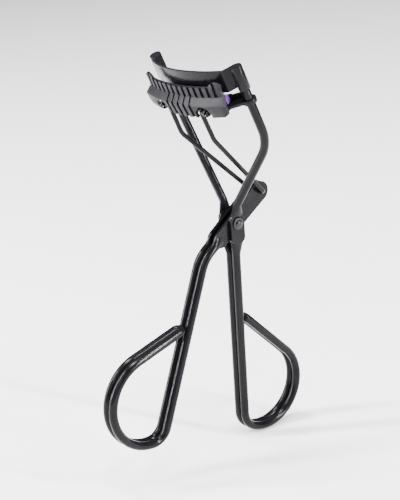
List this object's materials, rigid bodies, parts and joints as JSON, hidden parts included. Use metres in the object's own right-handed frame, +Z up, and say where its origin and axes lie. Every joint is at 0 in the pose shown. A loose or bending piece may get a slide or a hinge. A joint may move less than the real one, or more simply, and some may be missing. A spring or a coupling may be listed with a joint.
{
  "type": "eyelash curler",
  "caption": "Scissor-action eyelash curler in black wire with a curved jaw, a sliding lower jaw with a soft pad and a ribbed lash comb, and two finger loops.",
  "frame": {"origin": "middle of the bottom of the bounding box, with the curler upright", "axes": "+X along the rivet and the jaws, +Z up along the frame handle, -Y towards the convex front of the jaws and the lever's finger loop, +Y towards the frame's finger loop"},
  "size_m": [0.0366, 0.0688, 0.1128],
  "materials": {
    "black_wire": "satin",
    "black_rivet": "semi-gloss",
    "black_sheet": "semi-gloss",
    "purple_silicone": "soft satin",
    "charcoal_plastic": "fine matte"
  },
  "bodies": {
    "frame": {"frame_wire": "black_wire", "upper_jaw": "black_sheet", "pivot_rivet": "black_rivet", "pivot_washers": "black_rivet"},
    "lever": {"lever_wire": "black_wire"},
    "link": {"link_wire": "black_wire"},
    "carriage": {"lower_jaw": "black_sheet", "silicone_pad": "purple_silicone", "lash_comb": "charcoal_plastic"}
  },
  "joints": [
    {"name": "lever_hinge", "type": "hinge", "parent": "frame", "child": "lever", "pos_m": [0, 0.01232, 0.0659], "axis": [1, 0, 0], "range_deg": [-26, 3]},
    {"name": "carriage_slide", "type": "slide", "parent": "frame", "child": "carriage", "axis": [0, -0.4083, 0.9128], "range_m": [-0.0055, 0.00066]},
    {"name": "link_hinge", "type": "hinge", "parent": "lever", "child": "link", "pos_m": [0, 0.02207, 0.07273], "axis": [1, 0, 0], "range_deg": [-3.2, 26.3]}
  ],
  "couplings": [
    {"joint": "carriage_slide", "follows": "lever_hinge", "m_per_rad": 0.01181},
    {"joint": "link_hinge", "follows": "lever_hinge", "ratio": -1.0008}
  ]
}
